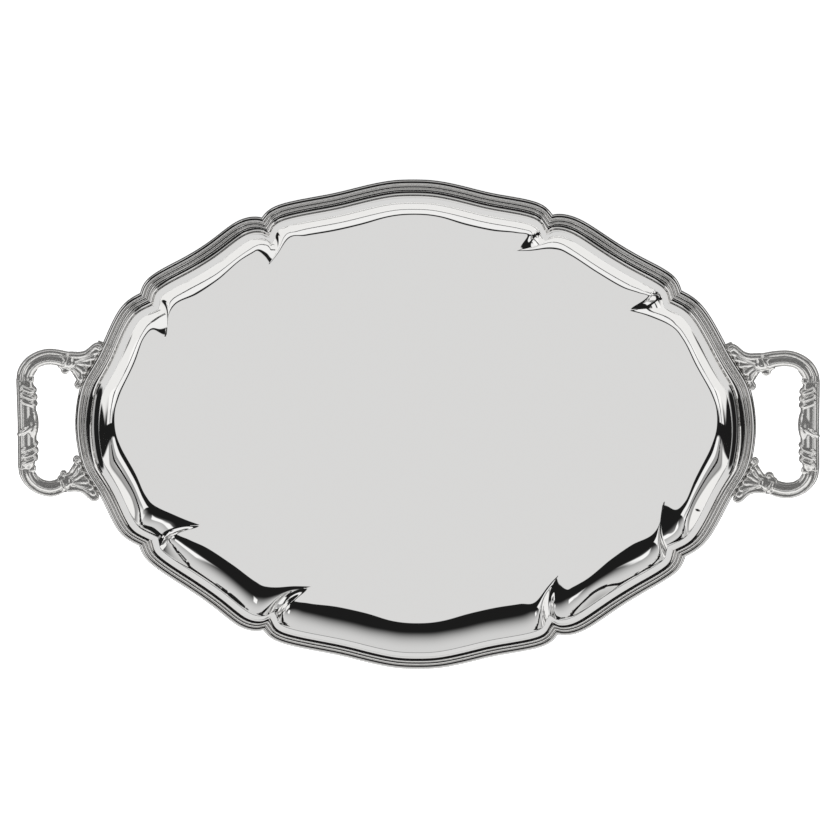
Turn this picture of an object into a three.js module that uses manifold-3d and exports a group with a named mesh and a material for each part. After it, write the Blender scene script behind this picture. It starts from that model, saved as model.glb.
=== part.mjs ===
// A two-handled oval serving tray of polished silver plate, with a scalloped ("pie-crust") outline.
// One pressed sheet makes the well, its steep wall and the plain flange. Eight lengths of reeded
// moulding are mitred around the edge, and two cast scroll handles are screwed on from beneath.
// Units are millimetres. The origin is the middle of the well's underside, +X runs along the
// tray towards one handle, +Y towards the back, and +Z is up.

import * as THREE from 'three';
import { mergeVertices } from 'three/addons/utils/BufferGeometryUtils.js';
import Module from 'manifold-3d';

const wasm = await Module();
wasm.setup();

// ---------------------------------------------------------------- driving dimensions

// Outer edge of the rim, as control points of one smooth curve (a cubic B-spline) for each lobe.
// The curves meet in sharp inward points, called pinches. One quarter is given; it is mirrored.
const SIDE_LOBE = [[0, 206.4], [18.5, 206.1], [45.5, 199], [62, 194], [104.3, 187], [112, 175.5]];
const CORNER_LOBE = [
  [112, 175.5], [118, 176.9], [132.5, 173.4], [153.8, 154.7],
  [173.7, 141.5], [182.2, 136.7], [204.4, 123.4], [208, 110.7],
];
const END_LOBE = [[208, 110.7], [225.5, 101.1], [241.6, 57.8], [254.5, 40.1], [259, 20.9], [261, 0]];
const STEPS_PER_SPAN = 2;

const SHEET = 1.2; // thickness of the pressed sheet
const WELL_TOP = SHEET; // the well's underside stands on the table
const FLANGE_TOP = 17.2; // height of the crease where the flange turns down into the wall
const CREASE = 16.4; // distance of that crease in from the outer edge
const WALL_FOOT = 33.4; // distance of the flat well's edge in from the outer edge
const WALL_BEND = 10; // distance in from the crease at which its slope would meet the well
const WALL_STEPS = 5;

const MITRE_SPREAD = 14; // length along the rim over which a mitre leans its neighbours over
const DART_LENGTH = 0.42; // how much further the wall reaches into the well at a pinch
const DART_SPREAD = 5; // half width of that pointed fold along the rim
const SWIRL = 13; // how far each fold's inner tip curls round, anticlockwise seen from above
const SWIRL_SPREAD = 17; // length along the rim over which the wall is drawn round with it
const END_WIDENING = 2; // extra width of the cove and flange beside the handles
const END_FOOT_SHIFT = -2.4; // the wall's foot lies nearer to the edge there, so the wall is steeper
const END_WIDENING_REACH = 48; // distance from the tray's long axis over which both fade

const GAP = 0.3; // clearance left between touching pieces

const REEDS_WIDTH = 10.1; // distance in from the outer edge of the last reed's inner side
const COVE_WIDTH = 2.4; // width of the cove between the reeds and the flange
const SHEET_EDGE = 1.8; // the sheet stops this far in from the moulding's outer edge
const SHEET_UNDER_REEDS = 10.6;

const HANDLE_HEIGHT = 16.5; // middle of the grip above the table
const GRIP_X = 299.3;
const GRIP_HALF_LENGTH = 38;
const GRIP_HALF_WIDTH = 7.6;
const GRIP_HALF_DEPTH = 6.4;
const ARM_START_X = 265.2;
const ARM_START_Y = 50.6;
const ARM_START_Z = 13.6;
const ARM_START_HALF_WIDTH = 6.8;
const TONGUE_TOP = 9;
const TONGUE_THICKNESS = 2.5;
const TONGUE_REACH = 10; // how far the foot's tongue runs in under the rim
const FOOT_TOP = 17;

const SCREW_INSET = 6; // screw's distance in from the outer edge
const SHANK_RADIUS = 1.5;
const SHANK_TOP = 12.6;
const HEAD_RADIUS = 3;
const HEAD_THICKNESS = 1.6;

// ---------------------------------------------------------------- materials

const mirrorSilver = new THREE.MeshStandardMaterial({ color: 0xd9d8d6, roughness: 0.06, metalness: 1 });
const reededSilver = new THREE.MeshStandardMaterial({ color: 0xcfcecb, roughness: 0.12, metalness: 1 });
const castSilver = new THREE.MeshStandardMaterial({ color: 0xb9b7b3, roughness: 0.24, metalness: 1 });
const screwSteel = new THREE.MeshStandardMaterial({ color: 0xa8a8a6, roughness: 0.35, metalness: 1 });

// ---------------------------------------------------------------- closed solids from points

function geometryFrom(points, faces) {
  const geometry = new THREE.BufferGeometry().setFromPoints(points);
  geometry.setIndex(faces.flat());
  return facingOut(geometry);
}

function signedVolume(geometry) {
  const position = geometry.attributes.position;
  const index = geometry.index.array;
  const a = new THREE.Vector3();
  const b = new THREE.Vector3();
  const c = new THREE.Vector3();
  let sum = 0;
  for (let i = 0; i < index.length; i += 3) {
    a.fromBufferAttribute(position, index[i]);
    b.fromBufferAttribute(position, index[i + 1]);
    c.fromBufferAttribute(position, index[i + 2]);
    sum += a.dot(b.cross(c)) / 6;
  }
  return sum;
}

function facingOut(geometry) {
  if (signedVolume(geometry) < 0) {
    const index = geometry.index.array;
    for (let i = 0; i < index.length; i += 3) {
      [index[i + 1], index[i + 2]] = [index[i + 2], index[i + 1]];
    }
  }
  return geometry;
}

// Joins equal loops of points in order and closes both ends with flat caps.
function sweptSolid(loops, capOutline) {
  const count = loops[0].length;
  const faces = [];
  for (let i = 0; i + 1 < loops.length; i += 1) {
    for (let j = 0; j < count; j += 1) {
      const next = (j + 1) % count;
      const a = i * count + j;
      const b = i * count + next;
      faces.push([a, b, b + count], [a, b + count, a + count]);
    }
  }
  const last = (loops.length - 1) * count;
  const outlineTurns = Math.sign(THREE.ShapeUtils.area(capOutline));
  for (const [a, b, c] of THREE.ShapeUtils.triangulateShape(capOutline, [])) {
    const corners = [capOutline[a], capOutline[b], capOutline[c]];
    const agrees = Math.sign(THREE.ShapeUtils.area(corners)) === outlineTurns;
    const [p, q] = agrees ? [b, c] : [c, b];
    faces.push([a, q, p], [last + a, last + p, last + q]);
  }
  return geometryFrom(loops.flat(), faces);
}

function toManifold(source) {
  let geometry = source.clone();
  geometry.deleteAttribute('normal');
  geometry.deleteAttribute('uv');
  geometry = facingOut(mergeVertices(geometry, 1e-4));
  const vertProperties = new Float32Array(geometry.attributes.position.array);
  const triVerts = new Uint32Array(geometry.index.array);
  return new wasm.Manifold(new wasm.Mesh({ numProp: 3, vertProperties, triVerts }));
}

function fromManifold(solid) {
  const mesh = solid.getMesh();
  const geometry = new THREE.BufferGeometry();
  geometry.setAttribute('position', new THREE.BufferAttribute(new Float32Array(mesh.vertProperties), 3));
  geometry.setIndex(Array.from(mesh.triVerts));
  return geometry;
}

function mirroredGeometry(source, scaleX, scaleY) {
  const geometry = source.clone();
  geometry.scale(scaleX, scaleY, 1);
  return geometry.index ? facingOut(geometry) : facingOut(mergeVertices(geometry, 1e-4));
}

// ---------------------------------------------------------------- outline and rim frames

const mirrored = (points, sx, sy) => points.map(([x, y]) => [x * sx, y * sy]);
const reversed = (points) => [...points].reverse();

// The eight lobes in clockwise order, seen from above.
const backLobe = [...reversed(mirrored(SIDE_LOBE.slice(1), -1, 1)), ...SIDE_LOBE];
const rightLobe = [...END_LOBE, ...reversed(mirrored(END_LOBE.slice(0, -1), 1, -1))];
const frontRightLobe = reversed(mirrored(CORNER_LOBE, 1, -1));
const LOBES = {
  back: backLobe,
  back_right: CORNER_LOBE,
  right: rightLobe,
  front_right: frontRightLobe,
  front: mirrored(backLobe, -1, -1),
  front_left: mirrored(CORNER_LOBE, -1, -1),
  left: mirrored(rightLobe, -1, -1),
  back_left: mirrored(frontRightLobe, -1, -1),
};

// Uniform cubic B-spline. One extra point is added past each end, so that it starts and stops there.
function splinePoint(control, span, u) {
  const padded = [
    [2 * control[0][0] - control[1][0], 2 * control[0][1] - control[1][1]],
    ...control,
    [2 * control.at(-1)[0] - control.at(-2)[0], 2 * control.at(-1)[1] - control.at(-2)[1]],
  ];
  const weights = [(1 - u) ** 3, 3 * u ** 3 - 6 * u ** 2 + 4, -3 * u ** 3 + 3 * u ** 2 + 3 * u + 1, u ** 3];
  const sum = (axis) => weights.reduce((total, w, k) => total + w * padded[span + k][axis], 0) / 6;
  return new THREE.Vector2(sum(0), sum(1));
}

// Stations along one lobe: place, direction, and the distance along the rim to each end.
function lobeStations(control) {
  const spans = control.length - 1;
  const step = 1 / STEPS_PER_SPAN;
  const nudge = 1e-3;
  const stations = [];
  for (let span = 0; span < spans; span += 1) {
    for (let k = 0; k < STEPS_PER_SPAN + (span === spans - 1 ? 1 : 0); k += 1) {
      const u = k * step;
      const place = splinePoint(control, span, u);
      const ahead = splinePoint(control, span, Math.min(u + nudge, 1));
      const behind = splinePoint(control, span, Math.max(u - nudge, 0));
      const along = ahead.sub(behind).normalize();
      stations.push({ place, along, inward: new THREE.Vector2(along.y, -along.x) });
    }
  }
  let travelled = 0;
  stations.forEach((station, i) => {
    travelled += i ? station.place.distanceTo(stations[i - 1].place) : 0;
    station.fromStart = travelled;
  });
  stations.forEach((station) => {
    station.toEnd = travelled - station.fromStart;
  });
  return stations;
}

const rim = Object.fromEntries(Object.entries(LOBES).map(([name, control]) => [name, lobeStations(control)]));

// Each mitre's lean is the tangent of half the turn between the two lobes that meet there. The folds
// of the wall below it curl back against the clockwise order of the lobes.
const lobeNames = Object.keys(LOBES);
lobeNames.forEach((name, i) => {
  const stations = rim[name];
  const before = rim[lobeNames.at(i - 1)].at(-1).along;
  const after = rim[lobeNames[(i + 1) % lobeNames.length]][0].along;
  const startLean = Math.tan(Math.abs(before.angleTo(stations[0].along)) / 2);
  const endLean = Math.tan(Math.abs(after.angleTo(stations.at(-1).along)) / 2);
  const startBack = before.clone().add(stations[0].along).normalize().negate();
  const endBack = after.clone().add(stations.at(-1).along).normalize().negate();
  stations.forEach((station) => {
    const endPull = endLean * Math.exp(-station.toEnd / MITRE_SPREAD);
    const startPull = startLean * Math.exp(-station.fromStart / MITRE_SPREAD);
    station.lean = endPull - startPull;
    station.dart = Math.exp(-station.toEnd / DART_SPREAD) + Math.exp(-station.fromStart / DART_SPREAD);
    const endDraw = Math.exp(-station.toEnd / SWIRL_SPREAD);
    const startDraw = Math.exp(-station.fromStart / SWIRL_SPREAD);
    station.swirl = endBack.clone().multiplyScalar(endDraw).addScaledVector(startBack, startDraw);
  });
});

// A point at distance d in from the outer edge, following the mitres and the folds of the wall.
function rimPoint(station, d, z) {
  const downWall = Math.max(0, (d - CREASE) / (WALL_FOOT - CREASE));
  const acrossCove = Math.max(0, Math.min(1, (d - REEDS_WIDTH) / COVE_WIDTH));
  const widening = END_WIDENING * acrossCove * (1 - downWall) + END_FOOT_SHIFT * downWall;
  let inset = d + widening * Math.exp(-((station.place.y / END_WIDENING_REACH) ** 2));
  if (d > CREASE) {
    inset += (d - CREASE) * DART_LENGTH * station.dart;
  }
  const curl = SWIRL * downWall ** 1.5;
  const x = station.place.x + inset * (station.inward.x + station.lean * station.along.x) + curl * station.swirl.x;
  const y = station.place.y + inset * (station.inward.y + station.lean * station.along.y) + curl * station.swirl.y;
  return new THREE.Vector3(x, y, z);
}

// ---------------------------------------------------------------- the pressed plate

// The wall is steep at the flange and bends round until it lies flat in the well.
function wallProfile() {
  const crease = new THREE.Vector2(CREASE, FLANGE_TOP);
  const bend = new THREE.Vector2(CREASE + WALL_BEND, WELL_TOP);
  const curve = new THREE.QuadraticBezierCurve(crease, bend, new THREE.Vector2(WALL_FOOT, WELL_TOP));
  return curve.getPoints(WALL_STEPS).slice(1).map((point) => [point.x, point.y]);
}

const PLATE_TOP = [
  [SHEET_EDGE, SHEET_UNDER_REEDS],
  [9.8, 11.6],
  [11.9, 13.2],
  [13.1, 16.7],
  [CREASE, FLANGE_TOP],
  ...wallProfile(),
];

// The sheet's lower face: the upper face moved by the sheet's thickness, square to the surface.
function lowerProfile(upper) {
  return upper.map(([d, z], i) => {
    const before = upper[Math.max(i - 1, 0)];
    const after = upper[Math.min(i + 1, upper.length - 1)];
    const isFoot = i === upper.length - 1;
    const slope = isFoot ? new THREE.Vector2(1, 0) : new THREE.Vector2(after[0] - before[0], after[1] - before[1]);
    slope.normalize();
    return [d + slope.y * SHEET, z - slope.x * SHEET];
  });
}

function trayPlate() {
  const stations = lobeNames.flatMap((name) => rim[name].slice(0, -1));
  const rows = [...PLATE_TOP, ...lowerProfile(PLATE_TOP).reverse()];
  const points = rows.flatMap(([d, z]) => stations.map((station) => rimPoint(station, d, z)));
  const around = stations.length;
  const faces = [];
  const lastTopRow = PLATE_TOP.length - 1;
  for (let row = 0; row < rows.length; row += 1) {
    if (row !== lastTopRow) {
      for (let i = 0; i < around; i += 1) {
        const next = (i + 1) % around;
        const below = ((row + 1) % rows.length) * around;
        faces.push([row * around + i, row * around + next, below + next]);
        faces.push([row * around + i, below + next, below + i]);
      }
    }
  }
  for (const [row, z, turn] of [[lastTopRow, WELL_TOP, 1], [lastTopRow + 1, 0, -1]]) {
    const middle = points.push(new THREE.Vector3(0, 0, z)) - 1;
    for (let i = 0; i < around; i += 1) {
      const a = row * around + i;
      const b = row * around + ((i + 1) % around);
      faces.push(turn > 0 ? [a, b, middle] : [b, a, middle]);
    }
  }
  return geometryFrom(points, faces);
}

// ---------------------------------------------------------------- reeded mouldings

// Section of the moulding as [distance in, height]: outer roll, three reeds, and the cove that
// rises to the flange, then back along the sheet beneath it.
const MOULDING = [
  [1.5, 9.3], [0.4, 9.3], [0, 11.6], [2.1, 13.3], [4.6, 12.7], [5.9, 13.9],
  [7.3, 13.3], [8.7, 14.7], [REEDS_WIDTH, 14.3], [11.9, 16.5], [12.7, 16.5], [11.5, 13.5], [9.5, 11.9], [1.5, 10.9],
];

function moulding(name) {
  const stations = rim[name];
  const outline = MOULDING.map(([d, z]) => new THREE.Vector2(d, z));
  const loops = stations.map((station, i) => {
    const isStart = i === 0;
    const isEnd = i === stations.length - 1;
    const pull = (isStart ? GAP / 2 : 0) - (isEnd ? GAP / 2 : 0);
    return MOULDING.map(([d, z]) => {
      const point = rimPoint(station, d, z);
      return point.add(new THREE.Vector3(station.along.x, station.along.y, 0).multiplyScalar(pull));
    });
  });
  return sweptSolid(loops, outline);
}

// ---------------------------------------------------------------- handles

const ROUND_SIDES = 10;

// Rounded bar of changing width along a smooth path. Each path entry is [x, y, z, half width].
function scrollBar(path, steps, flattening) {
  const curve = new THREE.CatmullRomCurve3(path.map(([x, y, z]) => new THREE.Vector3(x, y, z)));
  const widths = new THREE.CatmullRomCurve3(path.map((entry, i) => new THREE.Vector3(i, entry[3], 0)));
  const up = new THREE.Vector3(0, 0, 1);
  const loops = [];
  for (let i = 0; i <= steps; i += 1) {
    const t = i / steps;
    const centre = curve.getPoint(t);
    const along = curve.getTangent(t);
    const side = new THREE.Vector3().crossVectors(up, along).normalize();
    const over = new THREE.Vector3().crossVectors(along, side).normalize();
    const half = widths.getPoint(t).y;
    const loop = [];
    for (let j = 0; j < ROUND_SIDES; j += 1) {
      const angle = (j / ROUND_SIDES) * 2 * Math.PI;
      const point = centre.clone();
      point.addScaledVector(side, half * Math.cos(angle));
      point.addScaledVector(over, half * flattening * Math.sin(angle));
      loop.push(point);
    }
    loops.push(loop);
  }
  const cap = loops[0].map((_, j) => {
    const angle = (j / ROUND_SIDES) * 2 * Math.PI;
    return new THREE.Vector2(Math.cos(angle), Math.sin(angle));
  });
  return sweptSolid(loops, cap);
}

function box(low, high) {
  const [width, depth, height] = high.map((value, axis) => value - low[axis]);
  const geometry = new THREE.BoxGeometry(width, depth, height);
  geometry.translate(low[0] + width / 2, low[1] + depth / 2, low[2] + height / 2);
  return toManifold(geometry);
}

// The arm rises from the foot's waist and turns round to meet the grip. Both ends are cut flat.
function arm() {
  const meetY = GRIP_HALF_LENGTH + GAP;
  const overrun = 3;
  const bar = scrollBar([
    [ARM_START_X - overrun, ARM_START_Y - 0.4, ARM_START_Z - 0.4, ARM_START_HALF_WIDTH],
    [ARM_START_X + 6, ARM_START_Y + 2.2, ARM_START_Z + 0.8, 6.8],
    [281, 55.8, 15.4, 6.1],
    [290, 53.8, 16.1, 6.1],
    [296.8, 48.3, HANDLE_HEIGHT, 6],
    [299.8, 42.6, HANDLE_HEIGHT, 5.8],
    [299.9, meetY - overrun, HANDLE_HEIGHT, 5.7],
  ], 14, 0.92);
  const volute = new THREE.SphereGeometry(3.3, 10, 6);
  volute.translate(269.3, 43.6, ARM_START_Z);
  const beforeStart = box([240, 30, 0], [ARM_START_X, 70, 50]);
  const beyondEnd = box([285, 0, 0], [320, meetY, 50]);
  return fromManifold(toManifold(bar).add(toManifold(volute)).subtract(beforeStart).subtract(beyondEnd));
}

// The grip is a bar with three wrapped ridges towards each end and a swelling leaf at its middle.
function grip() {
  const profile = [[0, -GRIP_HALF_LENGTH]];
  const rows = 20;
  for (let i = 0; i <= rows; i += 1) {
    const y = -GRIP_HALF_LENGTH + (2 * GRIP_HALF_LENGTH * i) / rows;
    const end = Math.abs(y) / GRIP_HALF_LENGTH;
    const ridges = end > 0.42 ? 0.05 * Math.sin((end - 0.42) * 30) : 0;
    const leaf = 0.1 * Math.exp(-((y / 9) ** 2));
    const neck = 0.2 * Math.max(0, end - 0.85) / 0.15;
    profile.push([0.93 + ridges + leaf - neck, y]);
  }
  profile.push([0, GRIP_HALF_LENGTH]);
  const lathe = new THREE.LatheGeometry(profile.map(([r, y]) => new THREE.Vector2(r, y)), ROUND_SIDES);
  lathe.scale(GRIP_HALF_WIDTH, 1, GRIP_HALF_DEPTH);
  lathe.translate(GRIP_X, 0, HANDLE_HEIGHT);
  return fromManifold(toManifold(lathe));
}

// Everything that the foot has to stay clear of: the rim above the tongue, and outside its edge.
function rimClearance() {
  const section = [[-GAP, TONGUE_TOP], [-GAP, 40], [24, 40], [24, TONGUE_TOP]];
  const stations = rim.right.filter((station) => Math.abs(station.place.y) < 96);
  const loops = stations.map((station) => section.map(([d, z]) => rimPoint(station, d, z)));
  return toManifold(sweptSolid(loops, section.map(([d, z]) => new THREE.Vector2(d, z))));
}

function extruded(outline, bottom, top, bevel) {
  const shape = new THREE.Shape(outline);
  const geometry = new THREE.ExtrudeGeometry(shape, {
    depth: top - bottom - 2 * bevel,
    bevelEnabled: bevel > 0,
    bevelThickness: bevel,
    bevelSize: bevel,
    bevelOffset: -bevel,
    bevelSegments: 2,
    steps: 1,
  });
  geometry.translate(0, 0, bottom + bevel);
  return toManifold(geometry);
}

const screwStation = rim.right.reduce((best, station) => {
  const miss = Math.abs(station.place.y - ARM_START_Y);
  return miss < Math.abs(best.place.y - ARM_START_Y) ? station : best;
});
const screwPlace = rimPoint(screwStation, SCREW_INSET, 0);

function screwHole(radius, bottom, top) {
  const hole = new THREE.CylinderGeometry(radius, radius, top - bottom, ROUND_SIDES);
  hole.rotateX(Math.PI / 2);
  hole.translate(screwPlace.x, screwPlace.y, (top + bottom) / 2);
  return toManifold(hole);
}

// The foot flares from the arm into two horns against the rim, with a tongue beneath the rim.
function foot() {
  const flare = new THREE.SplineCurve([
    [ARM_START_X - GAP, ARM_START_Y - ARM_START_HALF_WIDTH], [261.6, 42.9], [259.2, 39.2], [260.6, 33],
    [258.4, 28.1], [254, 29.3],
  ].map(([x, y]) => new THREE.Vector2(x, y))).getPoints(9);
  const horn = new THREE.SplineCurve([
    [240, 63.8], [243.6, 67.5], [248.2, 64.5], [252.4, 59.8], [258, 57.7],
    [ARM_START_X - GAP, ARM_START_Y + ARM_START_HALF_WIDTH],
  ].map(([x, y]) => new THREE.Vector2(x, y))).getPoints(9);
  const body = extruded([...flare, ...horn], TONGUE_TOP - TONGUE_THICKNESS, FOOT_TOP, 1.6);
  const near = rim.right.filter((station) => station.place.y > 36 && station.place.y < 66);
  const outerEdge = near.map((station) => rimPoint(station, -4, 0));
  const innerEdge = near.map((station) => rimPoint(station, TONGUE_REACH, 0)).reverse();
  const tongueOutline = [...outerEdge, ...innerEdge].map((point) => new THREE.Vector2(point.x, point.y));
  const tongue = extruded(tongueOutline, TONGUE_TOP - TONGUE_THICKNESS, TONGUE_TOP, 0);
  const hole = screwHole(SHANK_RADIUS + GAP, 0, 30);
  return fromManifold(body.add(tongue).subtract(rimClearance()).subtract(hole));
}

// A round-headed screw that goes up through the tongue and the sheet into the moulding.
function screw() {
  const headTop = TONGUE_TOP - TONGUE_THICKNESS - GAP;
  const profile = [
    [0, headTop - HEAD_THICKNESS],
    [HEAD_RADIUS * 0.7, headTop - HEAD_THICKNESS],
    [HEAD_RADIUS, headTop - HEAD_THICKNESS * 0.45],
    [HEAD_RADIUS, headTop],
    [SHANK_RADIUS, headTop],
    [SHANK_RADIUS, SHANK_TOP],
    [0, SHANK_TOP],
  ];
  const lathe = new THREE.LatheGeometry(profile.map(([r, z]) => new THREE.Vector2(r, z)), ROUND_SIDES);
  lathe.rotateX(Math.PI / 2);
  const solid = toManifold(lathe);
  return fromManifold(solid.translate([screwPlace.x, screwPlace.y, 0]));
}

// ---------------------------------------------------------------- assembly

const tray = new THREE.Group();

function addPiece(name, geometry, material) {
  const mesh = new THREE.Mesh(geometry, material);
  mesh.name = name;
  tray.add(mesh);
}

// The four screw holes, cut through the plate and part of the way into the end mouldings.
function cutScrewHoles(geometry) {
  const hole = screwHole(SHANK_RADIUS + GAP, TONGUE_TOP - 1, SHANK_TOP + GAP);
  const holeGeometry = fromManifold(hole);
  let solid = toManifold(geometry);
  for (const sx of [1, -1]) {
    for (const sy of [1, -1]) {
      solid = solid.subtract(toManifold(mirroredGeometry(holeGeometry, sx, sy)));
    }
  }
  return fromManifold(solid);
}

addPiece('tray_plate', cutScrewHoles(trayPlate()), mirrorSilver);

for (const name of lobeNames) {
  const isEnd = name === 'right' || name === 'left';
  const geometry = isEnd ? cutScrewHoles(moulding(name)) : moulding(name);
  addPiece(`border_${name}`, geometry, reededSilver);
}

const gripGeometry = grip();
const armGeometry = arm();
const footGeometry = foot();
const screwGeometry = screw();
for (const [side, sx] of [['right', 1], ['left', -1]]) {
  addPiece(`handle_${side}_grip`, mirroredGeometry(gripGeometry, sx, 1), castSilver);
  for (const [end, sy] of [['back', 1], ['front', -1]]) {
    addPiece(`handle_${side}_${end}_arm`, mirroredGeometry(armGeometry, sx, sy), castSilver);
    addPiece(`handle_${side}_${end}_foot`, mirroredGeometry(footGeometry, sx, sy), castSilver);
    addPiece(`screw_${side}_${end}`, mirroredGeometry(screwGeometry, sx, sy), screwSteel);
  }
}

export default tray;
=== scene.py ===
"""A polished silver serving tray with a scalloped rim and two scroll handles, dressed for a photograph.

Sizes are in millimetres until a mesh is made. +X runs along the tray to one handle, +Y to its back.
"""

import math

import bpy
import numpy as np
from mathutils import Matrix, Vector


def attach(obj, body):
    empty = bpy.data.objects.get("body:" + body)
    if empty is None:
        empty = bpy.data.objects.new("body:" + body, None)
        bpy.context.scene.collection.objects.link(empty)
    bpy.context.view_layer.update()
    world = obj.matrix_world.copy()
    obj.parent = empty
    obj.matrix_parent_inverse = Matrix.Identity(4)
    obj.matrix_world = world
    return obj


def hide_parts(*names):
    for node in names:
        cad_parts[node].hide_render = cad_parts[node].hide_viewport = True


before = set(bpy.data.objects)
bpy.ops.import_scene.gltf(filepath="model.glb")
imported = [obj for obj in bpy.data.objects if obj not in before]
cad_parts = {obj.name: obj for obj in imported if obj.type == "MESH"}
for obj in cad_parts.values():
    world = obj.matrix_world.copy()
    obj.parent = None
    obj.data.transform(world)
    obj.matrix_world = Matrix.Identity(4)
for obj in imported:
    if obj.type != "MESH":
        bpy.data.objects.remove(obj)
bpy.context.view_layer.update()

MM = 0.001

# Outer edge of the rim: control points of one cubic B-spline for each lobe of a quarter.
SIDE_LOBE = [(0, 206.4), (18.5, 206.1), (45.5, 199), (62, 194), (104.3, 187), (112, 175.5)]
CORNER_LOBE = [
    (112, 175.5), (118, 176.9), (132.5, 173.4), (153.8, 154.7),
    (173.7, 141.5), (182.2, 136.7), (204.4, 123.4), (208, 110.7),
]
END_LOBE = [(208, 110.7), (225.5, 101.1), (241.6, 57.8), (254.5, 40.1), (259, 20.9), (261, 0)]
STEPS_PER_SPAN = 16
LOBE_ORDER = ("back", "back_right", "right", "front_right", "front", "front_left", "left", "back_left")

# Edge of the flat well under each lobe: share of the way along the lobe, x, y. The other four
# lobes are these turned half round. Every lobe's edge ends in the curled tip of a fold.
WELL_EDGE = {
    "back": [
        (0, -110.5, 130), (0.025, -103, 139), (0.06, -94, 152), (0.124, -80, 154.7),
        (0.214, -60, 158.2), (0.289, -40, 163.3), (0.384, -20, 169.7), (0.5, 0, 172),
        (0.616, 20, 169.8), (0.716, 40, 163), (0.786, 60, 158.3), (0.876, 80, 156.3),
        (0.95, 89, 153), (1, 79, 142),
    ],
    "back_right": [
        (0, 79, 142), (0.04, 90, 141.5), (0.09, 102, 142.5), (0.16, 112, 142), (0.275, 121, 137.7),
        (0.464, 140, 123.5), (0.637, 160, 110.5), (0.747, 172, 106), (0.87, 180, 102), (1, 163, 92),
    ],
    "right": [
        (0, 163, 92), (0.03, 173, 89), (0.06, 184, 84.5), (0.09, 193, 80.5), (0.125, 200, 75.7),
        (0.16, 205, 68), (0.239, 213, 49), (0.364, 225, 24), (0.448, 229.5, 10), (0.541, 229.5, -8),
        (0.607, 226, -20), (0.761, 213, -50), (0.86, 206, -69), (0.92, 200, -75), (1, 190, -66.7),
    ],
    "front_right": [
        (0, 190, -66.7), (0.04, 189.5, -75), (0.09, 188, -85), (0.16, 183, -95), (0.302, 165, -105),
        (0.445, 150, -116.5), (0.656, 130, -135), (0.74, 122, -140), (0.88, 117, -141), (1, 110.5, -130),
    ],
}

SHEET = 1.2
WELL_TOP = 1.2
FLANGE_TOP = 17.2
CREASE = 16.4
CREASE_ROUNDING = 0.35
FLANGE_START = 12.6  # distance in from the outer edge at which the flange comes out of the cove
WALL_ROWS = 26
WALL_BEND = 10  # distance in from the crease at which the wall's slope there would meet the well
LONGEST_REACH = 17.0  # width up to which a wider wall also bends further in
WALL_STEEPNESS = 0.588  # share of the wall's width where its slope at the crease would meet the well
MITRE_SPREAD = 14
END_WIDENING = 2
END_WIDENING_REACH = 48
REEDS_WIDTH = 9.1
COVE_WIDTH = 2.4
END_DIP = 0.7  # how far the flange's outer edge leans down beside each handle
END_DIP_X = (248, 257)
MITRE_GAP = 0.12


# ---------------------------------------------------------------- outline

def spline(control, steps):
    """Places and directions along a uniform cubic B-spline that starts and stops at its end points."""
    points = np.array(control, float)
    first = 2 * points[0] - points[1]
    last = 2 * points[-1] - points[-2]
    padded = np.vstack([first, points, last])
    spans = len(points) - 1
    t = np.linspace(0, spans, spans * steps + 1)
    span = np.minimum(t.astype(int), spans - 1)
    u = (t - span)[:, None]
    a, b, c, d = (padded[span + k] for k in range(4))
    place = (1 - u) ** 3 * a + (3 * u**3 - 6 * u**2 + 4) * b + (3 * u + 3 * u**2 - 3 * u**3 + 1) * c + u**3 * d
    along = (-((1 - u) ** 2) * a + (3 * u**2 - 4 * u) * b + (1 + 2 * u - 3 * u**2) * c + u**2 * d) / 2
    return place / 6, along / np.linalg.norm(along, axis=1)[:, None]


def lobe_controls():
    side = np.array(SIDE_LOBE, float)
    corner = np.array(CORNER_LOBE, float)
    end = np.array(END_LOBE, float)
    back = np.vstack([(side[1:] * (-1, 1))[::-1], side])
    right = np.vstack([end, (end[:-1] * (1, -1))[::-1]])
    front_right = (corner * (1, -1))[::-1]
    half = [back, corner, right, front_right]
    return dict(zip(LOBE_ORDER, half + [-control for control in half]))


def smooth_through(knots, values, t):
    """Curve through values at the given knots, with directions taken from each value's neighbours."""
    knots = np.array(knots, float)
    values = np.array(values, float)
    slopes = np.gradient(values, knots, axis=0)
    k = np.clip(np.searchsorted(knots, t, side="right") - 1, 0, len(knots) - 2)
    width = (knots[k + 1] - knots[k])[:, None]
    u = ((t - knots[k]) / (knots[k + 1] - knots[k]))[:, None]
    return (
        (2 * u**3 - 3 * u**2 + 1) * values[k]
        + (u**3 - 2 * u**2 + u) * width * slopes[k]
        + (3 * u**2 - 2 * u**3) * values[k + 1]
        + (u**3 - u**2) * width * slopes[k + 1]
    )


def well_edge(name, share):
    turned = name not in WELL_EDGE
    source = LOBE_ORDER[(LOBE_ORDER.index(name) + 4) % 8] if turned else name
    table = np.array(WELL_EDGE[source])
    edge = smooth_through(table[:, 0], table[:, 1:], share)
    return -edge if turned else edge


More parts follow.
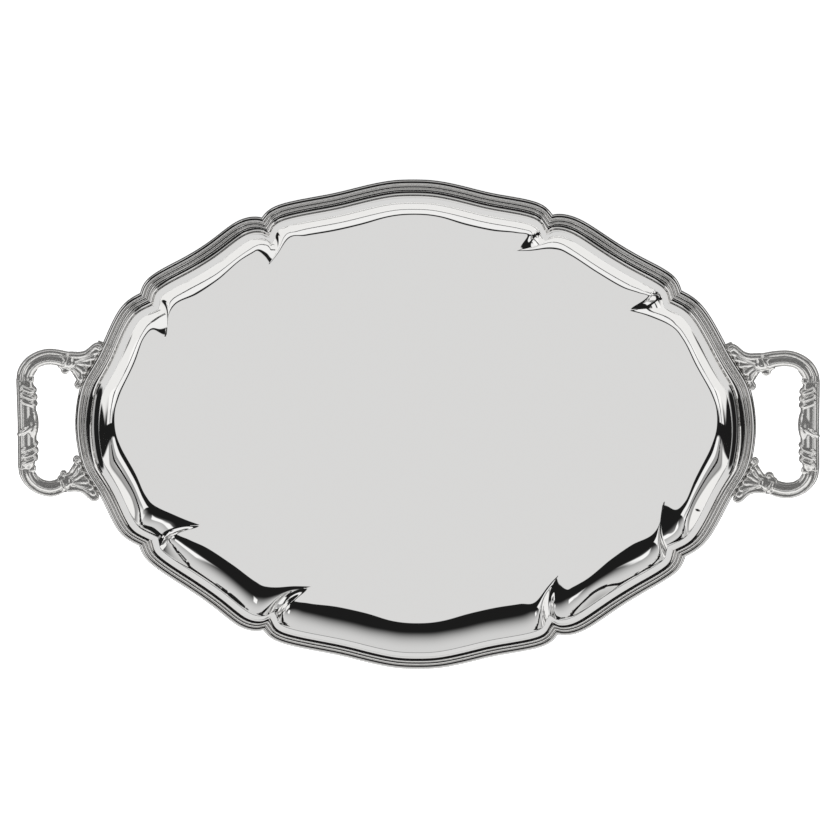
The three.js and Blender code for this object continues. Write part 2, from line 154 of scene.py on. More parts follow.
def rim_columns():
    """For each lobe: places along the outer edge, directions, the mitre's lean and the well's edge."""
    columns = {}
    for name, control in lobe_controls().items():
        place, along = spline(control, STEPS_PER_SPAN)
        from_start = np.concatenate([[0], np.cumsum(np.linalg.norm(np.diff(place, axis=0), axis=1))])
        columns[name] = {
            "place": place,
            "along": along,
            "inward": np.column_stack([along[:, 1], -along[:, 0]]),
            "from_start": from_start,
            "to_end": from_start[-1] - from_start,
            "edge": well_edge(name, from_start / from_start[-1]),
        }
    for i, name in enumerate(LOBE_ORDER):
        column = columns[name]
        before = columns[LOBE_ORDER[i - 1]]["along"][-1]
        after = columns[LOBE_ORDER[(i + 1) % 8]]["along"][0]
        start_lean = math.tan(math.acos(np.clip(before @ column["along"][0], -1, 1)) / 2)
        end_lean = math.tan(math.acos(np.clip(after @ column["along"][-1], -1, 1)) / 2)
        column["lean"] = end_lean * np.exp(-column["to_end"] / MITRE_SPREAD)
        column["lean"] -= start_lean * np.exp(-column["from_start"] / MITRE_SPREAD)
    return columns


def rim_row(column, distance, height):
    """Points at one distance in from the outer edge, all along a lobe."""
    across_cove = np.clip((distance - REEDS_WIDTH) / COVE_WIDTH, 0, 1)
    beside_handle = np.exp(-((column["place"][:, 1] / END_WIDENING_REACH) ** 2))
    inset = (distance + END_WIDENING * across_cove * beside_handle)[:, None]
    flat = column["place"] + inset * (column["inward"] + column["lean"][:, None] * column["along"])
    at_end = np.clip((np.abs(column["place"][:, 0]) - END_DIP_X[0]) / (END_DIP_X[1] - END_DIP_X[0]), 0, 1)
    dip = END_DIP * at_end * at_end * (3 - 2 * at_end)
    dip *= np.interp(distance, (REEDS_WIDTH, FLANGE_START, CREASE), (0, 1, 0))
    return np.column_stack([flat, height - dip])


# The rim is not quite regular: each pinch's regular place, and how far in x and y it lies from there.
PINCH_SHIFTS = [
    ((112, 175.5), (-6.5, 1.8)),
    ((208, 110.7), (-4.5, 3.5)),
    ((208, -110.7), (-1.5, 1.0)),
    ((112, -175.5), (-3.5, -1.0)),
    ((-112, -175.5), (-6.5, 2.0)),
    ((-208, -110.7), (-5.0, 9.0)),
    ((-208, 110.7), (-1.0, 0.5)),
    ((-112, 175.5), (-3.5, -1.0)),
]
SHIFT_REACH = 42


def settled(points):
    """Points moved by the rim's irregularities, which fade away from each pinch."""
    points = np.asarray(points, float)
    moved = points.copy()
    for pinch, shift in PINCH_SHIFTS:
        away = np.linalg.norm(points[:, :2] - pinch, axis=1)
        moved[:, :2] += np.exp(-((away / SHIFT_REACH) ** 2))[:, None] * np.array(shift)
    return moved


# ---------------------------------------------------------------- meshes

def new_mesh(name, points, faces, material, sharp_angle=35):
    mesh = bpy.data.meshes.new(name)
    mesh.from_pydata((np.asarray(points) * MM).tolist(), [], faces)
    mesh.validate()
    mesh.shade_smooth()
    mesh.set_sharp_from_angle(angle=math.radians(sharp_angle))
    mesh.materials.append(material)
    piece = bpy.data.objects.new(name, mesh)
    bpy.context.scene.collection.objects.link(piece)
    return piece


def grid_faces(rows, columns, closed_columns=False, closed_rows=False):
    """Four-sided faces of a grid of points, which may join up round its columns or its rows."""
    faces = []
    for i in range(rows if closed_rows else rows - 1):
        for j in range(columns if closed_columns else columns - 1):
            here = i * columns
            below = (i + 1) % rows * columns
            beside = (j + 1) % columns
            faces.append((here + j, here + beside, below + beside, below + j))
    return faces


def stand_for(piece, node):
    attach(piece, "root")
    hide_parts(node)


# ---------------------------------------------------------------- the pressed plate

def flange_profile():
    """Distance in and height from under the reeds to the crease, whose corner is slightly rounded."""
    rows = [(1.8, 10.4), (9.8, 11.4), (12.2, 13.4), (12.5, 17.1), (12.9, 17.12), (14.6, 17.17)]
    slope = math.atan2(FLANGE_TOP - WELL_TOP, WALL_BEND)
    for share in np.linspace(0, 1, 6):
        turn = slope * share
        rows.append((
            CREASE - CREASE_ROUNDING * 0.55 + CREASE_ROUNDING * math.sin(turn),
            FLANGE_TOP - CREASE_ROUNDING * (1 - math.cos(turn)),
        ))
    return rows


def wall_rows(column, top):
    """The concave wall, from its top row at the crease down to the edge of the well."""
    edge = np.column_stack([column["edge"], np.full(len(top), WELL_TOP)])
    reach = np.linalg.norm(edge[:, :2] - top[:, :2], axis=1)
    inward = column["inward"] + column["lean"][:, None] * column["along"]
    bend_flat = top[:, :2] + inward * (WALL_STEEPNESS * np.minimum(reach, LONGEST_REACH))[:, None]
    bend = np.column_stack([bend_flat, np.full(len(top), WELL_TOP)])
    rows = []
    for t in np.linspace(0, 1, WALL_ROWS + 1)[1:]:
        rows.append((1 - t) ** 2 * top + 2 * t * (1 - t) * bend + t**2 * edge)
    return rows


def plate_mesh(columns, material):
    rows = []
    for distance, height in flange_profile():
        rows.append([rim_row(columns[name], distance, height)[:-1] for name in LOBE_ORDER])
    flange = [np.vstack(row) for row in rows]
    walls = [wall_rows(columns[name], rim_row(columns[name], *flange_profile()[-1])) for name in LOBE_ORDER]
    wall = [np.vstack([lobe[k][:-1] for lobe in walls]) for k in range(WALL_ROWS)]
    loops = flange + wall
    around = len(loops[0])
    faces = [face[::-1] for face in grid_faces(len(loops), around, closed_columns=True)]
    last = (len(loops) - 1) * around
    faces.append(tuple(range(last + around - 1, last - 1, -1)))
    piece = new_mesh("tray_plate_sheet", settled(np.vstack(loops)), faces, material, 24)
    mark_well_edge(piece.data, last)
    thicken(piece, SHEET)
    return piece


def mark_well_edge(mesh, first):
    """Makes the well's edge, whose points start at first, sharp, so the well is shaded flat up to it."""
    for edge in mesh.edges:
        if min(edge.vertices) >= first:
            edge.use_edge_sharp = True


def thicken(piece, thickness):
    """Gives a sheet its thickness, on the side away from its normals."""
    solid = piece.modifiers.new("thickness", "SOLIDIFY")
    solid.thickness = thickness * MM
    solid.offset = -1
    apply_modifiers(piece)


def apply_modifiers(piece):
    bpy.context.view_layer.update()
    evaluated = piece.evaluated_get(bpy.context.evaluated_depsgraph_get())
    mesh = bpy.data.meshes.new_from_object(evaluated)
    piece.modifiers.clear()
    piece.data = mesh


# ---------------------------------------------------------------- reeded mouldings

def arc(centre, radius, start, stop, count):
    """Points on a circle between two angles in degrees, counted from the outward side over the top."""
    angles = np.radians(np.linspace(start, stop, count))
    return [(centre[0] - radius * math.cos(a), centre[1] + radius * math.sin(a)) for a in angles]


def bezier(a, b, c, count):
    t = np.linspace(0, 1, count)[:, None]
    a, b, c = (np.array(p, float) for p in (a, b, c))
    return [tuple(p) for p in (1 - t) ** 2 * a + 2 * t * (1 - t) * b + t**2 * c]


def crest(start, stop, height, count):
    """A reed between two grooves, rounder at its sides than on top."""
    share = np.linspace(-1, 1, count)
    start, stop = np.array(start, float), np.array(stop, float)
    points = start + (stop - start) * ((share + 1) / 2)[:, None]
    points[:, 1] += height * (1 - np.abs(share) ** 2.3)
    return [tuple(p) for p in points]


def moulding_profile():
    """Outer roll, two finer reeds, then a cove that climbs to the flange; closed beneath."""
    outer_roll = arc((2.0, 11.7), 2.0, -55, 84, 10) + crest((2.2, 13.7), (3.9, 12.8), 0.45, 9)[4:]
    reeds = crest((3.9, 12.8), (6.45, 13.4), 1.0, 15)[1:] + crest((6.45, 13.4), (9.0, 14.0), 1.0, 15)[1:]
    cove = bezier((9.1, 14.05), (10.5, 14.7), (11.25, 16.95), 9)
    lip = [(11.35, 17.08), (12.6, 17.1)]
    beneath = [(12.2, 13.6), (9.9, 11.6), (2.6, 10.6), (1.6, 9.6)]
    return outer_roll + reeds + cove + lip + beneath


def moulding_mesh(name, column, material):
    profile = moulding_profile()
    pull = np.zeros(len(column["place"]))
    pull[0] = MITRE_GAP / 2
    pull[-1] = -MITRE_GAP / 2
    shift = np.column_stack([column["along"] * pull[:, None], np.zeros(len(pull))])
    rows = np.array([rim_row(column, d, z) + shift for d, z in profile])
    points = rows.transpose(1, 0, 2).reshape(-1, 3)
    count = len(profile)
    faces = grid_faces(len(pull), count, closed_columns=True)
    last = (len(pull) - 1) * count
    faces.append(tuple(range(count - 1, -1, -1)))
    faces.append(tuple(range(last, last + count)))
    return new_mesh(f"border_{name}_reeds", settled(points), faces, material, 40)


# ---------------------------------------------------------------- cast handles

TUBE_SIDES = 20
TUBE_TIP = 0.7  # how far a bar's tip stands out, as a share of its radius there
RING_STOPS = 24
RING_SIDES = 12


def ball(centre, radii, rings=10):
    """Closed ellipsoid as points and faces."""
    radii = np.full(3, radii, float) if np.isscalar(radii) else np.array(radii, float)
    sides = 2 * rings
    points = []
    for i in range(1, rings):
        polar = math.pi * i / rings
        for j in range(sides):
            turn = 2 * math.pi * j / sides
            across = math.sin(polar)
            points.append((across * math.cos(turn), across * math.sin(turn), math.cos(polar)))
    faces = [face[::-1] for face in grid_faces(rings - 1, sides, closed_columns=True)]
    top, bottom = len(points), len(points) + 1
    points += [(0, 0, 1), (0, 0, -1)]
    last = (rings - 2) * sides
    for j in range(sides):
        beside = (j + 1) % sides
        faces.append((top, j, beside))
        faces.append((bottom, last + beside, last + j))
    return np.array(points) * radii + np.array(centre, float), faces


def tube(stops, flattening=1.0, steps=8):
    """Round bar through (x, y, z, radius) stops; flattening scales its height."""
    stops = np.array(stops, float)
    knots = np.arange(len(stops), dtype=float)
    t = np.linspace(0, len(stops) - 1, (len(stops) - 1) * steps + 1)
    path = smooth_through(knots, stops, t)
    along = np.gradient(path[:, :3], axis=0)
    along /= np.linalg.norm(along, axis=1)[:, None]
    side = np.cross((0, 0, 1), along)
    side /= np.linalg.norm(side, axis=1)[:, None]
    over = np.cross(along, side)
    angles = np.arange(TUBE_SIDES) * 2 * math.pi / TUBE_SIDES
    rings = [
        path[:, :3] + path[:, 3:] * (side * math.cos(a) + over * flattening * math.sin(a)) for a in angles
    ]
    points = np.array(rings).transpose(1, 0, 2).reshape(-1, 3)
    count = len(path)
    faces = grid_faces(count, TUBE_SIDES, closed_columns=True)
    last = (count - 1) * TUBE_SIDES
    start_tip = path[0, :3] - along[0] * path[0, 3] * TUBE_TIP
    end_tip = path[-1, :3] + along[-1] * path[-1, 3] * TUBE_TIP
    points = np.vstack([points, start_tip, end_tip])
    for j in range(TUBE_SIDES):
        beside = (j + 1) % TUBE_SIDES
        faces.append((len(points) - 2, beside, j))
        faces.append((len(points) - 1, last + j, last + beside))
    return points, faces


def curl(centre, start_angle, turns, outer, inner, thickness, rise=1.5):
    """A volute: a bar that winds in round a centre, rising as it goes."""
    stops = []
    for share in np.linspace(0, 1, int(abs(turns) * 10) + 2):
        angle = math.radians(start_angle) + share * turns * 2 * math.pi
        reach = outer + (inner - outer) * share
        stops.append((
            centre[0] + reach * math.cos(angle),
            centre[1] + reach * math.sin(angle),
            centre[2] + rise * share,
            thickness * (1 - 0.35 * share),
        ))
    return tube(stops, steps=4)


def ring(centre, radii, slant, thickness):
    """A wrapped ridge round the grip, leaning by slant millimetres of y for each of x."""
    turns = np.linspace(0, 2 * math.pi, RING_STOPS + 1)
    across = radii[0] * np.cos(turns)
    stops = np.column_stack([across, slant * across, radii[1] * np.sin(turns)]) + np.array(centre, float)
    along = np.gradient(stops, axis=0)
    along /= np.linalg.norm(along, axis=1)[:, None]
    outward = stops - np.array(centre, float)
    outward -= along * (outward * along).sum(axis=1)[:, None]
    outward /= np.linalg.norm(outward, axis=1)[:, None]
    beside = np.cross(along, outward)
    angles = np.arange(RING_SIDES) * 2 * math.pi / RING_SIDES
    rings = [stops + thickness * (outward * math.cos(a) + beside * math.sin(a)) for a in angles]
    points = np.array(rings).transpose(1, 0, 2)[:-1].reshape(-1, 3)
    return points, grid_faces(RING_STOPS, RING_SIDES, closed_columns=True, closed_rows=True)


def prism(outline, bottom, top):
    """A flat-topped block over an outline."""
    count = len(outline)
    points = [(x, y, bottom) for x, y in outline] + [(x, y, top) for x, y in outline]
    faces = [(i, (i + 1) % count, count + (i + 1) % count, count + i) for i in range(count)]
    faces.append(tuple(range(count - 1, -1, -1)))
    faces.append(tuple(range(count, 2 * count)))
    return np.array(points, float), faces


HANDLE_OFFSET = (2.2, 4.0)  # how far the handles stand off their regular place, in x and y
OFFSET_START_X = 262  # the offset in x starts here, beyond the feet,
OFFSET_WIDTH = 26  # and is whole this much further out
END_RIM_CURVATURE = 0.009  # how fast the slope of the end rim changes, per millimetre of y


def set_in_place(piece):
    """Moves a casting off its regular place by the handle's offset; its feet slide along the rim."""
    points = np.empty(len(piece.data.vertices) * 3)
    piece.data.vertices.foreach_get("co", points)
    points = points.reshape(-1, 3)
    share = np.clip((np.abs(points[:, 0]) / MM - OFFSET_START_X) / OFFSET_WIDTH, 0, 1)
    share = share * share * (3 - 2 * share)
    slide = -np.sign(points[:, 0]) * END_RIM_CURVATURE * points[:, 1] / MM * HANDLE_OFFSET[1]
    points[:, 0] += (share * HANDLE_OFFSET[0] + (1 - share) * slide) * MM
    points[:, 1] += HANDLE_OFFSET[1] * MM
    piece.data.vertices.foreach_set("co", points.ravel())
    piece.data.update()
    return piece


def cast(name, shapes, material, voxel=0.4, smoothing=5):
    """Fuses overlapping closed shapes into one smooth casting."""
    points = []
    faces = []
    for shape_points, shape_faces in shapes:
        offset = len(points)
        points.extend(map(tuple, shape_points))
        faces.extend(tuple(i + offset for i in face) for face in shape_faces)
    piece = new_mesh(name, points, faces, material, 180)
    fuse = piece.modifiers.new("fuse", "REMESH")
    fuse.mode = "VOXEL"
    fuse.voxel_size = voxel * MM
    fuse.use_smooth_shade = True
    soften = piece.modifiers.new("soften", "SMOOTH")
    soften.factor = 0.5
    soften.iterations = smoothing
    apply_modifiers(piece)
    piece.data.shade_smooth()
    return piece


ARM_ROLL = [
    (262, 50, 12.6, 4.6), (268, 50.4, 13.6, 4.9), (275, 53.2, 14.6, 4.8), (282, 54.2, 15.4, 4.7),
    (289, 52.4, 16, 4.5), (294.6, 47.8, 16.4, 4.3), (297.6, 42, 16.6, 4.1), (298.2, 36.5, 16.6, 3.8),
]
ARM_STRAP = [
    (264, 56.4, 13.4, 1.7), (269, 57.6, 14.2, 2.0), (275, 59.2, 15.2, 2.2), (282, 60.0, 15.9, 2.2),
    (289, 58.3, 16.3, 2.3), (295.6, 54.3, 16.5, 2.5), (300.2, 49, 16.6, 2.7), (302.9, 43, 16.7, 2.9),
    (303.7, 36.5, 16.7, 2.9),
]
BRIDGE_DROP = 1.2  # how far below the roll lies the bar that fills the arm between roll and strap
BRIDGE_RADIUS = 3.4


def arm_shapes():
    """The C-scroll arm: a main roll, a strap along its outer side, and a volute at each end."""
    line = [(x * 0.982 + 4.75, y - 4.0, z + 1.9, 0.75) for x, y, z, r in ARM_ROLL[2:5]]
    inner_line = line + [(291.6, 44.6, 18.5, 0.75), (293.6, 41, 18.6, 0.7)]
    bridge = [
        (roll[0], (roll[1] + strap[1]) / 2, roll[2] - BRIDGE_DROP, BRIDGE_RADIUS)
        for roll, strap in zip(ARM_ROLL[1:], ARM_STRAP[1:])
    ]
    return [
        tube(ARM_ROLL, 0.95),
        tube(ARM_STRAP, 1.15),
        tube(bridge, 1.0),
        tube(inner_line),
        ball((295.6, 37.6, 17.2), (3.0, 3.0, 3.4)),
        curl((295.7, 37.8, 17.4), 60, -1.3, 3.3, 1.2, 1.1, 2.2),
        tube([(273, 48.6, 14.4, 2.6), (270.6, 46, 14.2, 2.3), (269.2, 44, 14, 2.1)]),
        ball((268.6, 43.6, 13.8), (2.7, 2.7, 2.9)),
        curl((268.6, 43.7, 14.2), 20, -1.4, 2.9, 1.0, 1.0, 2.0),
        tube([
            (266.3, 58.2, 14.4, 1.2), (267.6, 55.4, 17.6, 1.3), (269.6, 51.6, 18.6, 1.3),
            (271.2, 48.2, 16.8, 1.1),
        ]),
        ball((268.9, 55.6, 17.4), (2.4, 1.5, 1.5)),
    ]


FOOT_ROOT = (266.0, 50.8, 13.6)
RIB_ENDS_Y = (36.8, 42.2, 47.6, 53.0, 58.0)
RIB_END_GAP = 2.7  # how far outside the rim's edge the palmette's ribs end
TONGUE_Y = (36, 65)
TONGUE_OUTSIDE = 4
TONGUE_INSIDE = 10
TONGUE_BOTTOM = 6.5
TONGUE_TOP = 9.0


def foot_shapes(column):
    """The flared palmette between two horns, with its tongue beneath the rim."""
    root = FOOT_ROOT
    shapes = [ball(root, (4.6, 6.2, 4.9))]
    for end_y in RIB_ENDS_Y:
        nearest = np.argmin(np.abs(column["place"][:, 1] - end_y))
        x, y = column["place"][nearest] - RIB_END_GAP * column["inward"][nearest]
        middle = ((x + root[0]) / 2, y * 0.4 + root[1] * 0.6)
        shapes.append(tube([(*root, 2.4), (*middle, 13.6, 2.6), (x, y, 12.9, 3.2)], 1.1))
        shapes.append(ball((x - 0.4, y, 13.2), (2.8, 3.2, 3.6)))
        slab = [(root[0], root[1], 12.2, 3.9), (*middle, 13.0, 4.0), (x, y, 12.2, 3.8)]
        shapes.append(tube(slab, 0.8))
    shapes += [
        tube([
            (268, 56.4, 13.6, 2.2), (264, 56.5, 13.8, 2.4), (258, 56.3, 13.8, 2.4),
            (253.2, 57.6, 13.8, 2.3), (250, 60.2, 13.8, 2.2), (247, 63.3, 13.9, 2.1),
            (244.2, 64.9, 14.2, 2.0), (242.0, 63.6, 14.6, 1.8), (242.8, 61.6, 14.9, 1.5),
        ], 1.3),
        ball((244.3, 63.4, 14.2), (2.2, 2.2, 2.5)),
        tube([
            (268, 46.4, 13.6, 2.1), (264.6, 45.5, 13.6, 2.3), (260.6, 44.4, 13.6, 2.2),
            (257.9, 41.8, 13.6, 2.1), (257.0, 38.4, 13.6, 2.0), (257.7, 34.9, 13.8, 2.0),
            (259.6, 32.0, 14.1, 1.9), (258.6, 29.8, 14.4, 1.7), (256.6, 30.8, 14.8, 1.4),
        ], 1.3),
        ball((258.0, 31.9, 14.2), (2.2, 2.2, 2.6)),
    ]
    under = [i for i, place in enumerate(column["place"]) if TONGUE_Y[0] < place[1] < TONGUE_Y[1]]
    outer = [column["place"][i] - TONGUE_OUTSIDE * column["inward"][i] for i in under]
    inner = [column["place"][i] + TONGUE_INSIDE * column["inward"][i] for i in under][::-1]
    shapes.append(prism(outer + inner, TONGUE_BOTTOM, TONGUE_TOP))
    return shapes


GRIP_Z = 16.5
GRIP_HALF = 37.4
GRIP_RIDGES = ((30.2, 5.1, 1.9), (24.6, 5.5, 1.9), (19.2, 5.8, 1.7))  # y, reach and thickness
RIDGE_SLANT = 0.45


def grip_shapes():
    """The hand-hold: a swelling bar with wrapped ridges and a leaf folded over its inner side."""
    roll = []
    for y in np.linspace(-GRIP_HALF, GRIP_HALF, 13):
        end = abs(y) / GRIP_HALF
        roll.append((297.9 + 0.5 * end**3, y, GRIP_Z, 6.0 - 2.0 * end**4))
    strap = [
        (303.3 + 0.4 * (abs(y) / GRIP_HALF), y, GRIP_Z, 3.1) for y in np.linspace(-GRIP_HALF, GRIP_HALF, 9)
    ]
    shapes = [tube(roll, 0.96, steps=6), tube(strap, 1.3, steps=6)]
    for end in (1, -1):
        for y, reach, thickness in GRIP_RIDGES:
            shapes.append(ring((297.9, end * y, GRIP_Z), (reach, 5.0), end * RIDGE_SLANT, thickness))
        shapes.append(ball((293.3, end * 28.6, 17.4), (2.4, 2.8, 3.4)))
        shapes.append(ball((292.6, end * 22.6, 17.6), (2.2, 2.6, 3.2)))
    shapes.append(ball((295.6, 0.5, 17.0), (5.6, 14.5, 6.3)))
    shapes.append(tube([
        (306.5, -9, 17.6, 1.0), (301.8, -5.5, 20.6, 1.8), (296.5, -1.2, 21.6, 2.0), (292.4, 1.5, 20.2, 2.0),
    ]))
    return shapes


def mirrored_copy(piece, name, scale_x, scale_y):
    """A copy with x and y scaled by 1 or -1."""
    mesh = piece.data.copy()
    mesh.name = name
    mesh.transform(Matrix.Diagonal((scale_x, scale_y, 1, 1)))
    if scale_x * scale_y < 0:
        mesh.flip_normals()
    copy = bpy.data.objects.new(name, mesh)
    bpy.context.scene.collection.objects.link(copy)
    return copy


def add_handles(column, material):
    """Casts each pattern once and sets its copies at the four corners of the two handles."""
    castings = {
        "grip": cast("grip_pattern", grip_shapes(), material, smoothing=9),
        "arm": cast("arm_pattern", arm_shapes(), material),
        "foot": cast("foot_pattern", foot_shapes(column), material, smoothing=9),
    }
    for side, sx in (("right", 1), ("left", -1)):
        for node, part, sy in (
            (f"handle_{side}_grip", "grip", 1),
            (f"handle_{side}_back_arm", "arm", 1),
            (f"handle_{side}_front_arm", "arm", -1),
            (f"handle_{side}_back_foot", "foot", 1),
            (f"handle_{side}_front_foot", "foot", -1),
        ):
            piece = set_in_place(mirrored_copy(castings[part], f"{node}_casting", sx, sy))
            stand_for(piece, node)
    for pattern in castings.values():
        bpy.data.objects.remove(pattern)


# ---------------------------------------------------------------- screws

SCREW_PLACE = (242.614, 46.449)
SCREW_SIDES = 48
HEAD_RADIUS = 3.0
HEAD_BOTTOM = 4.6
HEAD_TOP = 6.45
DOME_HEIGHT = 1.35
SHANK_RADIUS = 1.5
SHANK_TOP = 12.6
SCREW_TURN = 40  # degrees from one screw's slot to the next one's
SLOT_WIDTH = 0.9
SLOT_DEPTH = 0.85


def screw_profile():
    """Radius and height, from the crown of the round head up to the tip of the shank."""
    dome = [
        (HEAD_RADIUS * math.sin(turn), HEAD_BOTTOM + DOME_HEIGHT * (1 - math.cos(turn)))
        for turn in np.linspace(0.12, math.pi / 2, 9)
    ]
    rim_of_head = [(HEAD_RADIUS, HEAD_TOP - 0.12), (HEAD_RADIUS - 0.1, HEAD_TOP)]
    shank = [(SHANK_RADIUS, HEAD_TOP), (SHANK_RADIUS, SHANK_TOP - 0.6), (SHANK_RADIUS - 0.4, SHANK_TOP)]
    return dome + rim_of_head + shank


def screw_mesh(name, material):
    """A round-headed screw, slotted across its head."""
    profile = screw_profile()
    turns = np.arange(SCREW_SIDES) * 2 * math.pi / SCREW_SIDES
    points = [(r * math.cos(turn), r * math.sin(turn), z) for r, z in profile for turn in turns]
    faces = grid_faces(len(profile), SCREW_SIDES, closed_columns=True)
    last = (len(profile) - 1) * SCREW_SIDES
    faces.append(tuple(range(SCREW_SIDES - 1, -1, -1)))
    faces.append(tuple(range(last, last + SCREW_SIDES)))
    piece = new_mesh(name, points, faces, material)
    half = SLOT_WIDTH / 2
    reach = HEAD_RADIUS + 2
    outline = [(-reach, -half), (reach, -half), (reach, half), (-reach, half)]
    bar = prism(outline, HEAD_BOTTOM - 1.1, profile[0][1] + SLOT_DEPTH)
    cutter = new_mesh("slot_cutter", *bar, material)
    cut = piece.modifiers.new("slot", "BOOLEAN")
    cut.operation = "DIFFERENCE"
    cut.solver = "EXACT"
    cut.object = cutter
    apply_modifiers(piece)
    bpy.data.objects.remove(cutter)
    piece.data.shade_smooth()
    piece.data.set_sharp_from_angle(angle=math.radians(35))
    return piece


def add_screws(material):
    turn = 0
    for side, sx in (("right", 1), ("left", -1)):
        for end, sy in (("back", 1), ("front", -1)):
            piece = screw_mesh(f"screw_{side}_{end}_slotted", material)
            turn += SCREW_TURN
            piece.data.transform(
                Matrix.Translation((sx * SCREW_PLACE[0] * MM, sy * SCREW_PLACE[1] * MM, 0))
                @ Matrix.Rotation(math.radians(turn), 4, "Z")
            )
            stand_for(piece, f"screw_{side}_{end}")


# ---------------------------------------------------------------- materials

PATCHES_PER_METRE = 45


def silver(name, colour, roughness, wear, metallic=1.0):
    """Bare metal. Wear is how much the roughness varies from place to place."""
    material = bpy.data.materials.new(name)
    material.use_nodes = True
    nodes = material.node_tree.nodes
    links = material.node_tree.links
    shader = nodes["Principled BSDF"]
    shader.inputs["Base Color"].default_value = (*colour, 1)
    shader.inputs["Metallic"].default_value = metallic
    place = nodes.new("ShaderNodeTexCoord")
    patches = nodes.new("ShaderNodeTexNoise")
    patches.inputs["Scale"].default_value = PATCHES_PER_METRE
    patches.inputs["Detail"].default_value = 4
    spread = nodes.new("ShaderNodeMapRange")
    spread.inputs["From Min"].default_value = 0.3
    spread.inputs["From Max"].default_value = 0.7
    spread.inputs["To Min"].default_value = max(roughness - wear, 0)
    spread.inputs["To Max"].default_value = roughness + wear
    links.new(place.outputs["Object"], patches.inputs["Vector"])
    links.new(patches.outputs["Fac"], spread.inputs["Value"])
    links.new(spread.outputs["Result"], shader.inputs["Roughness"])
    return material


def floor_material():
    material = bpy.data.materials.new("studio_floor")
    material.use_nodes = True
    shader = material.node_tree.nodes["Principled BSDF"]
    shader.inputs["Base Color"].default_value = (0.85, 0.85, 0.85, 1)
    shader.inputs["Roughness"].default_value = 0.9
    shader.inputs["Emission Color"].default_value = (1, 1, 1, 1)
    shader.inputs["Emission Strength"].default_value = 0.95
    return material


# ---------------------------------------------------------------- studio

TILT = math.radians(25)  # how far the view leans towards the tray's back
SIDE_LEAN = 0.022  # and towards its right
ROLL = 0.008
DISTANCE = 11.0
PIXELS_PER_MM = 1.308
PICTURE = 840  # width of the picture in pixels
LOOK_RIGHT = 3.5  # how far the view's middle lies from the tray's middle, in millimetres
LOOK_UP = 4.75
LOOK_HEIGHT = 11.8


def view_axes():
    """The view's right, its up, and its direction from the tray to the camera."""
    towards = Vector((SIDE_LEAN, math.sin(TILT), math.cos(TILT))).normalized()
    up = (Vector((0, 1, 0)) - towards * towards.y).normalized()
    right = up.cross(towards)
    turned_up = up * math.cos(ROLL) + right * math.sin(ROLL)
    turned_right = right * math.cos(ROLL) - up * math.sin(ROLL)
    return turned_right, turned_up, towards


def add_camera():
    right, up, towards = view_axes()
    middle = Vector((0, 0, LOOK_HEIGHT)) + right * LOOK_RIGHT + up * LOOK_UP
    camera = bpy.data.objects.new("camera", bpy.data.cameras.new("camera"))
    bpy.context.scene.collection.objects.link(camera)
    camera.matrix_world = Matrix.Translation(middle * MM + towards * DISTANCE) @ Matrix(
        (right, up, towards)
    ).transposed().to_4x4()
    camera.data.sensor_width = 36
    camera.data.lens = PIXELS_PER_MM / MM * DISTANCE * camera.data.sensor_width / PICTURE
    camera.data.clip_start = 0.1
    camera.data.clip_end = 200
    bpy.context.scene.camera = camera


class NodeMath:
    """Writes sums of shader nodes as ordinary calls."""

    def __init__(self, tree):
        self.nodes = tree.nodes
        self.links = tree.links

    def _feed(self, socket, value):
        if isinstance(value, (int, float)):
            socket.default_value = value
        else:
            self.links.new(value, socket)

    def math(self, operation, a, b=0.0):
        node = self.nodes.new("ShaderNodeMath")
        node.operation = operation
        self._feed(node.inputs[0], a)
        self._feed(node.inputs[1], b)
        return node.outputs[0]

    def step(self, value, start, stop):
        """0 up to start, 1 from stop on; start may be above stop."""
        node = self.nodes.new("ShaderNodeMapRange")
        node.interpolation_type = "SMOOTHSTEP"
        self._feed(node.inputs["Value"], value)
        low, high = min(start, stop), max(start, stop)
        node.inputs["From Min"].default_value = low
        node.inputs["From Max"].default_value = high
        node.inputs["To Min"].default_value = 0 if start < stop else 1
        node.inputs["To Max"].default_value = 1 if start < stop else 0
        return node.outputs["Result"]

    def band(self, value, low, high, soft):
        """1 between low and high, and 0 outside them."""
        rise = self.step(value, low - soft, low + soft)
        fall = self.step(value, high + soft, high - soft)
        return self.math("MULTIPLY", rise, fall)


# Lit panels of the studio: turn about the tray's long axis from overhead towards the back, and
# angle out of that plane towards +X, each as (from, to, softness) in degrees; then brightness.
PANELS = [
    ((-31.5, -18.5, 1.2), (-15, 15, 3), 0.70),
    ((-110, -45, 1.5), (-50, 50, 6), 0.88),
]
# Panels that stand at both ends: bands of direction outward along the tray, towards the back and
# upward, each as (from, to, softness); then brightness.
END_PANELS = [
    ((0.7, 1.1, 0.04), (-0.9, -0.405, 0.006), (0.03, 0.3, 0.03), 0.88),
    ((0.74, 1.1, 0.02), (-0.22, 0.36, 0.02), (0.2, 0.56, 0.03), 0.9),
    ((0.74, 1.1, 0.02), (-0.22, 0.36, 0.02), (-0.1, 0.18, 0.03), 0.36),
    ((0.52, 0.7, 0.02), (0.5, 1.1, 0.02), (0.28, 0.44, 0.03), 0.8),
]
# The soft glow from behind: where it rises and where it fades, as turns in degrees; then brightness.
BACK_GLOW = ((46, 88), (178, 140), 0.64)
SHADE = 0.012
BELOW = 0.05
HORIZON = (-0.06, -0.01)


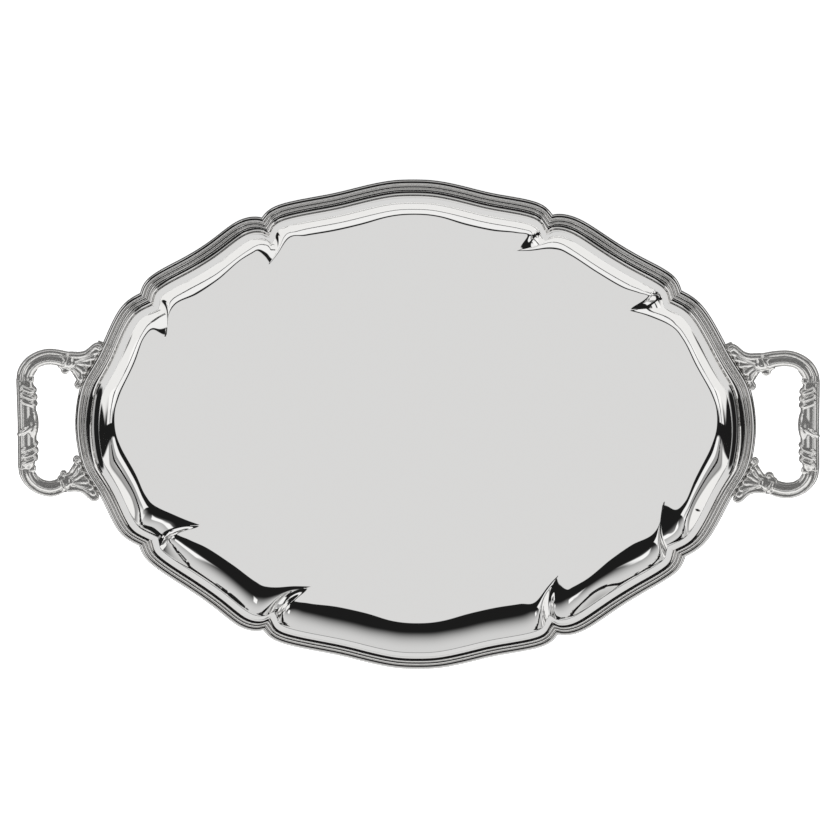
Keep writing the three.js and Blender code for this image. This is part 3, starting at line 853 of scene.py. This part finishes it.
def add_world():
    world = bpy.data.worlds.new("studio")
    world.use_nodes = True
    tree = world.node_tree
    make = NodeMath(tree)
    direction = tree.nodes.new("ShaderNodeTexCoord").outputs["Generated"]
    split = tree.nodes.new("ShaderNodeSeparateXYZ")
    tree.links.new(direction, split.inputs[0])
    x, y, z = split.outputs
    degrees = 180 / math.pi
    turn = make.math("MULTIPLY", make.math("ARCTAN2", y, z), degrees)
    aside = make.math("MULTIPLY", make.math("ARCSINE", x), degrees)
    light = SHADE
    for turn_band, aside_band, brightness in PANELS:
        share = make.math("MULTIPLY", make.band(turn, *turn_band), make.band(aside, *aside_band))
        light = make.math("ADD", light, make.math("MULTIPLY", share, brightness))
    rise, fade, brightness = BACK_GLOW
    share = make.math("MULTIPLY", make.step(turn, *rise), make.step(turn, *fade))
    light = make.math("ADD", light, make.math("MULTIPLY", share, brightness))
    for side in (1, -1):
        outward = make.math("MULTIPLY", x, side)
        for outward_band, back_band, up_band, brightness in END_PANELS:
            share = make.math("MULTIPLY", make.band(outward, *outward_band), make.band(y, *back_band))
            share = make.math("MULTIPLY", share, make.band(z, *up_band))
            light = make.math("ADD", light, make.math("MULTIPLY", share, brightness))
    light = make.math("MULTIPLY", light, make.step(z, *HORIZON))
    light = make.math("ADD", light, make.math("MULTIPLY", make.step(z, *HORIZON[::-1]), BELOW))
    light = make.math("MINIMUM", light, 1.0)
    grey = tree.nodes.new("ShaderNodeCombineXYZ")
    for socket in grey.inputs:
        tree.links.new(light, socket)
    background = tree.nodes["Background"]
    seen = tree.nodes.new("ShaderNodeLightPath").outputs["Is Camera Ray"]
    mix = tree.nodes.new("ShaderNodeMix")
    mix.data_type = "RGBA"
    tree.links.new(seen, mix.inputs[0])
    tree.links.new(grey.outputs[0], mix.inputs[6])
    mix.inputs[7].default_value = (1, 1, 1, 1)
    tree.links.new(mix.outputs[2], background.inputs["Color"])
    bpy.context.scene.world = world
    bpy.context.scene.view_settings.view_transform = "Standard"


FLOOR_HALF = 12000
FLOOR_Z = -0.05


def add_floor():
    corners = [(-1, -1), (1, -1), (1, 1), (-1, 1)]
    points = [(x * FLOOR_HALF, y * FLOOR_HALF, FLOOR_Z) for x, y in corners]
    floor = new_mesh("studio_floor", points, [(0, 1, 2, 3)], floor_material())
    floor.visible_glossy = False


LAMP_SIDE = 3
LAMP_HEIGHT = 3
LAMP_POWER = 60


def add_lights():
    data = bpy.data.lights.new("overhead_softbox", "AREA")
    data.shape = "SQUARE"
    data.size = LAMP_SIDE
    data.energy = LAMP_POWER
    lamp = bpy.data.objects.new("overhead_softbox", data)
    lamp.location = (0, 0, LAMP_HEIGHT)
    lamp.visible_glossy = False
    bpy.context.scene.collection.objects.link(lamp)


# ---------------------------------------------------------------- assembly

plate_silver = silver("plate_silver_polished", (0.965, 0.96, 0.95), 0.02, 0.015)
border_silver = silver("border_silver_polished", (0.95, 0.94, 0.925), 0.035, 0.015)

rim = rim_columns()
stand_for(plate_mesh(rim, plate_silver), "tray_plate")
for lobe in LOBE_ORDER:
    stand_for(moulding_mesh(lobe, rim[lobe], border_silver), f"border_{lobe}")

handle_silver = silver("handle_silver_cast", (0.95, 0.94, 0.92), 0.16, 0.03, 0.8)
add_handles(rim["right"], handle_silver)
add_screws(silver("screw_steel_turned", (0.62, 0.62, 0.61), 0.3, 0.08))

add_world()
add_floor()
add_lights()
add_camera()
